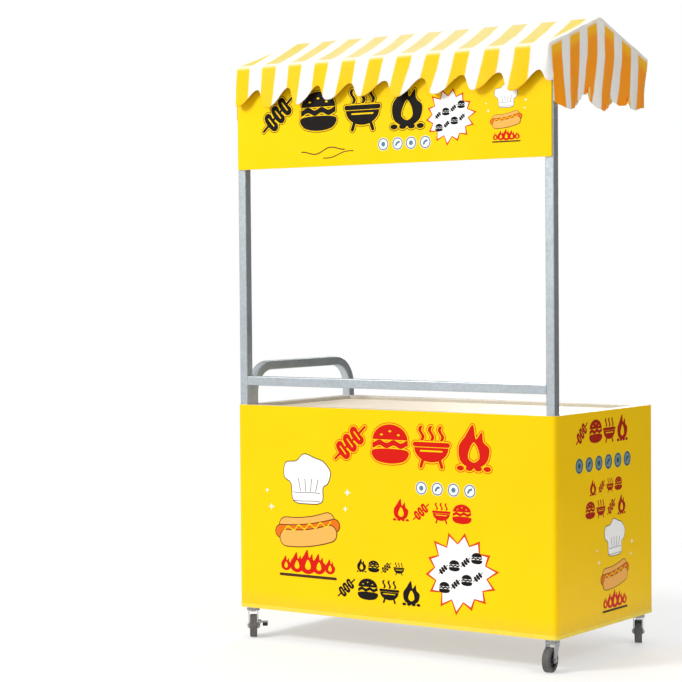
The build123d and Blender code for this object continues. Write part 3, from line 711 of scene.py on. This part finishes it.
def burst(cx, cz, outer, inner, points, squash=1.0, turn=0.0):
    """Starburst outline with uneven points."""
    loop = []
    for i in range(2 * points):
        reach = outer * (1 - 0.10 * ((i * 7) % 5) / 4) if i % 2 == 0 else inner
        angle = turn + math.pi * i / points
        loop.append((cx + reach * math.cos(angle), cz + squash * reach * math.sin(angle)))
    return loop


def smooth_loop(points, cx, cz, size, per=8):
    """Closed smooth outline through a few points given in a unit square."""
    pts = np.array(points, dtype=float)
    n = len(pts)
    out = []
    for i in range(n):
        p0, p1, p2, p3 = pts[i - 1], pts[i], pts[(i + 1) % n], pts[(i + 2) % n]
        for k in range(per):
            t = k / per
            q = 0.5 * (
                2 * p1 + (p2 - p0) * t + (2 * p0 - 5 * p1 + 4 * p2 - p3) * t ** 2
                + (3 * p1 - p0 - 3 * p2 + p3) * t ** 3
            )
            out.append((cx + q[0] * size, cz + q[1] * size))
    return out


def wave_ribbon(cx, cz, length, thick, swing, waves, angle=0.0):
    """A wavy ribbon, as of sauce or steam."""
    steps = 36
    top = []
    low = []
    for i in range(steps + 1):
        u = -0.5 + i / steps
        z = swing * math.sin(2 * math.pi * waves * u)
        top.append((u * length, z + thick / 2))
        low.append((u * length, z - thick / 2))
    return turned(top + low[::-1], cx, cz, angle)


FLAME = (
    (0.0, -0.5), (0.33, -0.36), (0.42, -0.05), (0.26, 0.12), (0.22, 0.34), (0.06, 0.18), (-0.02, 0.5),
    (-0.22, 0.24), (-0.40, -0.02), (-0.34, -0.36),
)
FLAME_CORE = (
    (0.0, -0.36), (0.15, -0.26), (0.12, -0.05), (0.0, 0.10), (-0.12, -0.08), (-0.15, -0.26),
)
TOQUE = (
    (-0.28, -0.30), (-0.33, -0.02), (-0.47, 0.10), (-0.44, 0.32), (-0.22, 0.36), (-0.06, 0.48),
    (0.16, 0.42), (0.34, 0.36), (0.47, 0.20), (0.42, 0.02), (0.32, -0.06), (0.29, -0.30), (0.0, -0.34),
)
# Sparkles round the emblem: place and size, as shares of its height
SPARKLES = ((-0.33, 0.10, 0.030), (-0.37, 0.22, 0.020), (0.34, 0.12, 0.024), (0.36, 0.24, 0.032))
LOWER_BUN = ((-0.46, -0.12), (0.46, -0.12), (0.42, -0.36), (0.0, -0.44), (-0.42, -0.36))


def skewer_sign(pen, cx, cz, size):
    """Three chunks of meat on a slanting stick, in one colour."""
    lean = 42
    turn = math.radians(lean)
    pen.fill(capsule(cx, cz, 1.22 * size, 0.030 * size, lean))
    for k in (-0.27, 0.0, 0.27):
        spot = (cx + k * size * math.cos(turn), cz + k * size * math.sin(turn))
        pen.fill(capsule(*spot, 0.50 * size, 0.112 * size, lean + 90, 0.02 * size))
        pen.score(capsule(*spot, 0.26 * size, 0.016 * size, lean + 90))


def bun_sign(pen, cx, cz, size):
    """A filled bun seen from the side."""
    pen.fill(ring_loop(cx, cz + 0.12 * size, 0.49 * size, 0.36 * size, 24, 0.0, math.pi))
    pen.fill(wave_ribbon(cx, cz + 0.015 * size, 1.0 * size, 0.13 * size, 0.035 * size, 2.5))
    pen.fill(smooth_loop(LOWER_BUN, cx, cz, size))
    for k in (-0.24, 0.0, 0.24):
        spot = (cx + k * size, cz + (0.32 - abs(k) * 0.35) * size)
        pen.score(ring_loop(*spot, 0.04 * size, 0.022 * size, 12))


def flame_sign(pen, cx, cz, size):
    """A flame with an open core over a bed of coals."""
    place = (cx, cz + 0.05 * size, size)
    pen.fill(smooth_loop(FLAME, *place), smooth_loop(FLAME_CORE, *place))
    for k in (-0.36, -0.12, 0.12, 0.36):
        pen.fill(ring_loop(cx + k * size, cz - 0.45 * size, 0.10 * size, 0.06 * size, 12))


def grill_sign(pen, cx, cz, size):
    """A round grill on legs with steam above it."""
    pen.fill(ring_loop(cx, cz - 0.02 * size, 0.47 * size, 0.34 * size, 24, math.pi, 2 * math.pi))
    pen.fill(capsule(cx, cz + 0.05 * size, 1.02 * size, 0.055 * size, 0))
    for side in (-1, 1):
        foot = (cx + side * 0.25 * size, cz - 0.36 * size)
        pen.fill(capsule(*foot, 0.30 * size, 0.042 * size, 90 + side * 20))
    for k in (-0.27, 0.0, 0.27):
        wisp = (cx + k * size, cz + 0.31 * size)
        pen.fill(wave_ribbon(*wisp, 0.34 * size, 0.085 * size, 0.045 * size, 1.0, 90))
    pen.score(capsule(cx, cz - 0.10 * size, 0.62 * size, 0.018 * size, 0))


def badge_row(panel, xs, z, radius, fill="white", rim="blue_grey"):
    """Small round badges, each with a ring round a dot or a bent bar."""
    for k, x in enumerate(xs):
        ink(panel, fill, 1, ring_loop(x, z, radius))
        ink(panel, rim, 2, ring_loop(x, z, radius * 0.93), ring_loop(x, z, radius * 0.76))
        if k % 2 == 0:
            ink(panel, rim, 2, ring_loop(x, z, radius * 0.36))
        else:
            ink(panel, rim, 2, capsule(x, z, radius * 1.05, radius * 0.17, 40, radius * 0.12))


def toque(panel, cx, cz, size):
    """A pleated cook's hat with a dark edge."""
    outline = smooth_loop(TOQUE, cx, cz, size)
    ink(panel, "outline", 1, outline, grow=size * 0.016)
    ink(panel, "white", 2, outline)
    for k in (-0.16, -0.04, 0.08, 0.20):
        pleat = capsule(cx + k * size, cz - 0.03 * size, 0.22 * size, 0.006 * size, 90 - k * 70)
        ink(panel, "outline", 3, pleat)
    for lift in (-0.16, -0.30):
        middle = (cx - 0.01 * size, cz + lift * size)
        band = wave_ribbon(*middle, 0.56 * size, 0.010 * size, 0.006 * size, 1.0)
        ink(panel, "outline", 3, band)


def hot_dog(panel, cx, cz, length, angle):
    """A sausage in a split bun with a wavy line of mustard."""
    turn = math.radians(angle)
    up = (-math.sin(turn), math.cos(turn))
    bars = (
        (0.085, 0.90, 0.110, "bun"), (0.02, 1.04, 0.082, "sausage"), (-0.075, 0.92, 0.105, "bun"),
    )
    for k, (rise, share, radius, colour) in enumerate(bars):
        spot = (cx + rise * length * up[0], cz + rise * length * up[1])
        shape = capsule(*spot, share * length, radius * length, angle, -0.03 * length)
        ink(panel, "outline", 2 * k + 1, shape, grow=length * 0.012)
        ink(panel, colour, 2 * k + 2, shape)
    line = (cx + 0.045 * length * up[0], cz + 0.045 * length * up[1])
    mustard = wave_ribbon(*line, 0.80 * length, 0.022 * length, 0.030 * length, 4.5, angle)
    ink(panel, "yellow_ink", 7, mustard)


def emblem(panel, cx, cz, height):
    """Cook's hat over a filled bun, with a row of flames over a grill bar."""
    toque(panel, cx, cz + 0.290 * height, 0.44 * height)
    hot_dog(panel, cx, cz - 0.055 * height, 0.56 * height, 8)
    fire_z = cz - 0.345 * height
    for shift, size in ((-0.20, 0.11), (-0.10, 0.15), (0.0, 0.18), (0.10, 0.15), (0.20, 0.11)):
        middle = (cx + shift * height, fire_z + size * 0.30 * height)
        ink(panel, "red", 1, smooth_loop(FLAME, *middle, size * height))
        ink(panel, "yellow_ink", 2, smooth_loop(FLAME_CORE, *middle, size * height * 0.9))
    ink(panel, "outline", 3, capsule(cx, fire_z - 0.052 * height, 0.52 * height, 0.010 * height, 0))
    for x, z, size in SPARKLES:
        middle = (cx + x * height, cz + z * height)
        ink(panel, "white", 1, burst(*middle, size * height, size * height * 0.3, 4))


def offer_burst(panel, cx, cz, outer):
    """White starburst with an orange edge and two tilted rows of small food marks."""
    ink(panel, "red_orange", 1, burst(cx, cz, outer, outer * 0.70, 14, 0.95, 0.1))
    ink(panel, "white", 2, burst(cx, cz, outer * 0.90, outer * 0.66, 14, 0.95, 0.1))
    tilt = 0.10
    for row, rise in ((0, 0.20), (1, -0.20)):
        for k in range(4):
            x = cx + (-0.45 + 0.29 * k + 0.03 * row) * outer
            z = cz + (rise + tilt * (k - 1.5)) * outer
            sign = (skewer_sign, bun_sign)[(k + row) % 2]
            sign(Pen(panel, "black", 3, UNSCORED), x, z, 0.27 * outer)


def headline(panel, colour, xs, z, size, edge=0.0):
    """A row of four bold food signs, with a fine outer line where edge is given."""
    for sign, x in zip((skewer_sign, bun_sign, grill_sign, flame_sign), xs):
        if edge:
            sign(Pen(panel, colour, 1, edge), x, z, size)
            sign(Pen(panel, "score", 2, edge * 0.62), x, z, size)
        sign(Pen(panel, colour, 3), x, z, size)


def small_row(panel, colour, signs, xs, z, size):
    """A row of small signs."""
    for sign, x in zip(signs, xs):
        sign(Pen(panel, colour, 1), x, z, size)


def design_front():
    """Front panel layout."""
    headline("front", "red", (-0.148, 0.006, 0.160, 0.314), 0.661, 0.134, edge=0.0060)
    badge_row("front", (0.122, 0.181, 0.240, 0.299), 0.531, 0.0215)
    signs = (flame_sign, skewer_sign, grill_sign, bun_sign)
    small_row("front", "red", signs, (0.045, 0.120, 0.195, 0.270), 0.457, 0.066)
    signs = (flame_sign, bun_sign, skewer_sign, grill_sign)
    small_row("front", "black", signs, (-0.107, -0.060, -0.012, 0.036), 0.272, 0.041)
    headline("front", "black", (-0.166, -0.083, -0.001, 0.082), 0.197, 0.074)
    offer_burst("front", 0.264, 0.276, 0.140)
    emblem("front", -0.318, 0.396, 0.44)


def design_side(panel):
    """Side panel layout, the same on both ends."""
    headline(panel, "dark_red", (-0.150, -0.062, 0.026, 0.112), 0.708, 0.078)
    xs = [-0.166 + 0.062 * k for k in range(6)]
    badge_row(panel, xs, 0.610, 0.0235, "steel_blue", "dark_blue")
    signs = (flame_sign, skewer_sign, grill_sign, bun_sign)
    small_row(panel, "dark_red", signs, (-0.080, -0.025, 0.030, 0.085), 0.536, 0.046)
    signs = (bun_sign, grill_sign, skewer_sign, flame_sign)
    small_row(panel, "dark_red", signs, (-0.098, -0.030, 0.038, 0.106), 0.468, 0.058)
    emblem(panel, 0.060, 0.270, 0.315)


def design_sign():
    """Sign board layout."""
    headline("sign", "black", (-0.423, -0.262, -0.090, 0.078), 1.716, 0.136, edge=0.0055)
    badge_row("sign", (-0.012, 0.042, 0.092, 0.145), 1.603, 0.0205)
    ink("sign", "outline", 1, wave_ribbon(-0.245, 1.592, 0.17, 0.0035, 0.007, 1.5, 6))
    ink("sign", "outline", 1, wave_ribbon(-0.185, 1.578, 0.12, 0.0030, 0.004, 1.0, 9))
    offer_burst("sign", 0.236, 1.678, 0.096)
    emblem("sign", 0.435, 1.668, 0.190)


def print_panels(inks):
    """Turn every queued shape into thin plates, one object for each panel and colour."""
    for (panel, colour), shapes in prints.items():
        origin, along, out = PANELS[panel]
        joined = bmesh.new()
        for order, (layer, loops) in enumerate(shapes):
            curve = bpy.data.curves.new("shape", "CURVE")
            curve.dimensions = "2D"
            curve.fill_mode = "BOTH"
            curve.extrude = INK_STEP / 2
            for loop in loops:
                spline = curve.splines.new("POLY")
                spline.points.add(len(loop) - 1)
                for point, (a, b) in zip(spline.points, loop):
                    point.co = (a, b, 0, 1)
                spline.use_cyclic_u = True
            shape = linked("shape", curve)
            graph = bpy.context.evaluated_depsgraph_get()
            flat = bpy.data.meshes.new_from_object(shape.evaluated_get(graph))
            height = INK_STEP * (layer - 0.5) + INK_SKEW * (order % 7)
            place = Matrix((
                (along[0], 0, out[0], origin[0]),
                (along[1], 0, out[1], origin[1]),
                (0, 1, 0, 0),
                (0, 0, 0, 1),
            ))
            flat.transform(Matrix.Translation((0, 0, height)))
            flat.transform(place)
            joined.from_mesh(flat)
            bpy.data.objects.remove(shape)
            bpy.data.curves.remove(curve)
            bpy.data.meshes.remove(flat)
        bmesh.ops.remove_doubles(joined, verts=joined.verts, dist=1e-6)
        bmesh.ops.recalc_face_normals(joined, faces=joined.faces)
        made = solid_object(f"{panel}_print_{colour}", joined, inks[colour])


# ---- Strips, beads and screws ----
def skirt_strip(name, low, high, proud, material, corner=0.015):
    """A flat strip round the front and both sides, with the skin's rounded corners."""
    path = [(-half_width, back_y)]
    for cx, cy, start in (
        (-half_width + corner, front_y + corner, math.pi),
        (half_width - corner, front_y + corner, 1.5 * math.pi),
    ):
        for k in range(9):
            angle = start + k / 8 * math.pi / 2
            path.append((cx + corner * math.cos(angle), cy + corner * math.sin(angle)))
    path.append((half_width, back_y))
    path = np.array(path)
    ahead = np.gradient(path, axis=0)
    normal = np.stack([ahead[:, 1], -ahead[:, 0]], axis=1)
    normal /= np.linalg.norm(normal, axis=1)[:, None]
    normal[0] = (-1, 0)
    normal[-1] = (1, 0)
    section = [
        (0.0, low), (proud * 0.7, low - proud * 0.3), (proud, low + 0.001), (proud, high - 0.001),
        (proud * 0.5, high), (0.0, high),
    ]
    bm = bmesh.new()
    rings = []
    for p, n in zip(path, normal):
        rings.append([bm.verts.new((p[0] + n[0] * o, p[1] + n[1] * o, z)) for o, z in section])
    for a, b in zip(rings[:-1], rings[1:]):
        for k in range(len(section)):
            j = (k + 1) % len(section)
            bm.faces.new((a[k], b[k], b[j], a[j]))
    bm.faces.new(rings[0][::-1])
    bm.faces.new(rings[-1])
    bmesh.ops.recalc_face_normals(bm, faces=bm.faces)
    solid_object(name, bm, material)


BEAD_SPACING = 0.0028
KNUCKLE_RADIUS = 0.0045
LEAF_THICKNESS = 0.002
SCREW_FROM_PIN = 0.014
SCREW_STEP = 0.020
HALF_HINGE = 0.030


def weld_bead(bm, centre, half_a, half_b, axis_a, axis_b, radius=0.0016):
    """Rippled bead round a rectangular joint."""
    a = Vector(axis_a)
    b = Vector(axis_b)
    quarters = ((1, 1), (-1, 1), (-1, -1), (1, -1))
    corners = [a * half_a * p + b * half_b * q for p, q in quarters]
    for k in range(4):
        start = corners[k]
        end = corners[(k + 1) % 4]
        count = max(3, int((end - start).length / BEAD_SPACING))
        for i in range(count):
            spot = Vector(centre) + start.lerp(end, (i + 0.5) / count)
            size = radius * (0.85 + 0.3 * ((i * 37 + k * 11) % 7) / 6)
            ball = bmesh.ops.create_icosphere(bm, subdivisions=1, radius=size)
            bmesh.ops.translate(bm, verts=ball["verts"], vec=spot)


def build_welds(material):
    """Weld beads where posts, rail and handle meet the frame."""
    bm = bmesh.new()
    half = (post_high[0] - post_low[0]) / 2
    post_y = (post_low[1] + post_high[1]) / 2
    for side in (-1, 1):
        x = side * (post_high[0] - half)
        weld_bead(bm, (x, post_y, rim_z), half, half, (1, 0, 0), (0, 1, 0))
        rail_z = (rail_low[2] + rail_high[2]) / 2
        weld_bead(bm, (side * rail_high[0], post_y, rail_z), half, half, (0, 1, 0), (0, 0, 1))
    handle_x = (handle_low[0] + handle_high[0]) / 2
    for y in (handle_low[1] + half, handle_high[1] - half):
        weld_bead(bm, (handle_x, y, rim_z), half, half, (1, 0, 0), (0, 1, 0))
    solid_object("weld_beads", bm, material, smooth=True)


def screw_head(bm, centre, out, radius=0.0033):
    """Domed cross-recessed screw head looking along out."""
    turn = Vector((0, 0, 1)).rotation_difference(Vector(out)).to_matrix().to_4x4()
    place = Matrix.Translation(centre) @ turn

    def corner(k, reach, height):
        """One vertex of a sixteen-sided ring."""
        angle = k * math.pi / 8
        spot = Vector((reach * math.cos(angle), reach * math.sin(angle), height))
        return bm.verts.new(place @ spot)

    rings = ((0.0, radius), (0.0006, radius), (0.0013, radius * 0.8), (0.0016, radius * 0.45))
    loops = [[corner(k, reach, height) for k in range(16)] for height, reach in rings]
    sink = [corner(k, radius * (0.45 if k % 4 == 0 else 0.12), 0.0007) for k in range(16)]
    for low, high in zip(loops, loops[1:] + [sink]):
        for k in range(16):
            j = (k + 1) % 16
            bm.faces.new((low[k], low[j], high[j], high[k]))
    bm.faces.new(loops[0][::-1])
    bm.faces.new(sink)


def build_screws(material):
    """Screw heads on each hinge leaf, riding with the leaf's own body."""
    leaf_low, leaf_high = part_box("door_hinge_leaves_left")
    pin = leaf_low[0] + KNUCKLE_RADIUS
    heights = (leaf_low[2] + HALF_HINGE, leaf_high[2] - HALF_HINGE)
    for body, name, sides, offset in (
        ("cart", "frame_hinge_screws", (-1, 1), SCREW_FROM_PIN),
        ("door_left_body", "door_hinge_screws_left", (-1,), -SCREW_FROM_PIN),
        ("door_right_body", "door_hinge_screws_right", (1,), -SCREW_FROM_PIN),
    ):
        bm = bmesh.new()
        for side in sides:
            for middle in heights:
                for step in (-SCREW_STEP, 0.0, SCREW_STEP):
                    x = side * (abs(pin) + offset)
                    screw_head(bm, Vector((x, back_y + LEAF_THICKNESS, middle + step)), (0, 1, 0))
        solid_object(name, bm, material, body)


# ---- Camera, lights and floor ----
CAMERA_PLACE = (3.653, -5.708, 1.202)
CAMERA_YAW = math.radians(35.39)
CAMERA_PITCH = math.radians(1.88)
CAMERA_ROLL = math.radians(-0.47)
CAMERA_LENS = 109.74
FLOOR_RADIUS = 3.3


def place_camera():
    """The camera of the photograph, turned to the left, slightly down and slightly rolled."""
    data = bpy.data.cameras.new("camera")
    data.lens = CAMERA_LENS
    data.sensor_width = 36
    camera = linked("camera", data)
    aim = Matrix.Rotation(CAMERA_YAW, 4, "Z") @ Matrix.Rotation(math.pi / 2 - CAMERA_PITCH, 4, "X")
    roll = Matrix.Rotation(CAMERA_ROLL, 4, "Z")
    camera.matrix_world = Matrix.Translation(CAMERA_PLACE) @ aim @ roll
    bpy.context.scene.camera = camera


def area_light(name, place, target, size, power):
    """A soft round light aimed at a point."""
    light = bpy.data.lights.new(name, "AREA")
    light.shape = "DISK"
    light.size = size
    light.energy = power
    lamp = linked(name, light)
    lamp.location = place
    aim = Vector(target) - Vector(place)
    lamp.rotation_euler = aim.to_track_quat("-Z", "Y").to_euler()


def light_the_studio():
    """Key light, two fills, and a sky that is brighter on the key's side and white to look at."""
    area_light("key", (-2.6, -5.0, 4.8), (0, -0.2, 0.9), 2.0, 270)
    area_light("side_fill", (3.4, -0.9, 3.0), (0.6, 0, 1.6), 1.6, 32)
    area_light("back_fill", (-1.5, 5.0, 3.0), (0, 0.2, 0.8), 3.0, 100)

    world = bpy.data.worlds.new("studio")
    world.use_nodes = True
    tree = world.node_tree
    background = tree.nodes["Background"]
    coords = tree.nodes.new("ShaderNodeTexCoord")
    dot = tree.nodes.new("ShaderNodeVectorMath")
    dot.operation = "DOT_PRODUCT"
    dot.inputs[1].default_value = Vector((-0.50, -0.68, 0.54)).normalized()
    tree.links.new(coords.outputs["Generated"], dot.inputs[0])
    level = tree.nodes.new("ShaderNodeMapRange")
    limits = {"From Min": -1.0, "From Max": 0.9, "To Min": 0.12, "To Max": 0.86}
    for socket, value in limits.items():
        level.inputs[socket].default_value = value
    tree.links.new(dot.outputs["Value"], level.inputs["Value"])
    sight = tree.nodes.new("ShaderNodeLightPath")
    pick = tree.nodes.new("ShaderNodeMix")
    pick.data_type = "FLOAT"
    tree.links.new(sight.outputs["Is Camera Ray"], pick.inputs[0])
    tree.links.new(level.outputs["Result"], pick.inputs[2])
    pick.inputs[3].default_value = 1.0
    tree.links.new(pick.outputs[0], background.inputs["Strength"])
    background.inputs["Color"].default_value = (1, 1, 1, 1)
    bpy.context.scene.world = world
    bpy.context.scene.view_settings.view_transform = "Standard"


def lay_floor():
    """A pale floor that fades out into the white background."""
    mesh = bpy.data.meshes.new("floor")
    bm = bmesh.new()
    bmesh.ops.create_circle(bm, cap_ends=True, segments=96, radius=FLOOR_RADIUS)
    bm.to_mesh(mesh)
    bm.free()
    floor = linked("floor", mesh)
    s = Shader("pale_floor", 0.9, specular=0.1)
    s.colour(s.mix(s.noise(1.5), (0.92, 0.92, 0.92, 1), (0.95, 0.95, 0.95, 1)))
    glow = s.node("ShaderNodeEmission", {"Color": (1, 1, 1, 1), "Strength": 1.0})
    away = s.node("ShaderNodeVectorMath", {0: s.place}, operation="LENGTH")
    share = s.ramp(away.outputs["Value"], 0.9, 3.2)
    pale = s.node("ShaderNodeMixShader", {0: 0.4, 1: s.bsdf.outputs[0], 2: glow.outputs[0]})
    clear = s.node("ShaderNodeBsdfTransparent")
    both = s.node("ShaderNodeMixShader", {0: share, 1: pale.outputs[0], 2: clear.outputs[0]})
    s.tree.links.new(both.outputs[0], s.tree.nodes["Material Output"].inputs["Surface"])
    mesh.materials.append(s.material)


# ---- Assemble ----
film = film_material("yellow_film", YELLOW)
# Painted highlight: the same yellow film made paler for the floor light on the hem's turn.
film_painted_highlight = film_material("yellow_film_painted_highlight", YELLOW_PAINTED_FLOOR_HIGHLIGHT, 0.3)
steel = galvanised_material()
hinge_steel = zinc_material("hinge_steel", 0.35)
SLOT_MATERIALS = {
    "galvanised_tube": steel,
    "counter_laminate": laminate_material(),
    "storage_board": board_material("storage_board", srgb(214, 198, 168)),
    "foam_board": board_material("white_foam_board", srgb(236, 236, 232), grain=False),
    "yellow_wrap": film,
    "yellow_sign": film,
    "hinge_steel": hinge_steel,
    "black_plastic": rubber_material("black_plastic", srgb(20, 20, 22), scuffed=False),
    "zinc_plate": zinc_material(),
    "wheel_core": rubber_material("wheel_core_plastic", srgb(36, 36, 40), scuffed=False),
    "grey_rubber": rubber_material("grey_rubber", srgb(84, 82, 81)),
}
rim_steel = galvanised_material("rim_tube", (0.58, 0.54, 0.46, 1.0), 0.3)
for entry in frame["record"]["subparts"]:
    wanted = SLOT_MATERIALS.get(entry["material_slot"])
    node = frame["nodes"].get(entry["node"])
    if wanted and node:
        for holder in node.material_slots:
            holder.material = rim_steel if entry["node"] == "top_frame" else wanted

build_roof([
    cloth_material("roof_cloth", STRIPE_PITCH, STRIPE_PHASE, STRIPE_SHARE),
    cloth_material("roof_cloth_inner", STRIPE_PITCH, STRIPE_PHASE, STRIPE_SHARE, inner=True),
])
gable_cloths = [
    cloth_material("gable_cloth", GABLE_PITCH, GABLE_PHASE, GABLE_SHARE, gable=True),
    cloth_material("gable_cloth_inner", GABLE_PITCH, GABLE_PHASE, GABLE_SHARE, inner=True),
]
for side in (-1, 1):
    build_gable(side, gable_cloths)

INKS = {colour: ink_material(f"ink_{colour}", value) for colour, value in INK_COLOURS.items()}
design_front()
design_side("right")
design_side("left")
design_sign()
print_panels(INKS)

# The strip's shape is the hem's turn under the frame; its paler yellow is a painted highlight of floor
# light.
skirt_strip("skin_foot_edge_painted_highlight", low=base_z, high=base_z + 0.012, proud=0.0009, material=film_painted_highlight)
build_welds(steel)
build_screws(hinge_steel)
place_camera()
light_the_studio()
lay_floor()
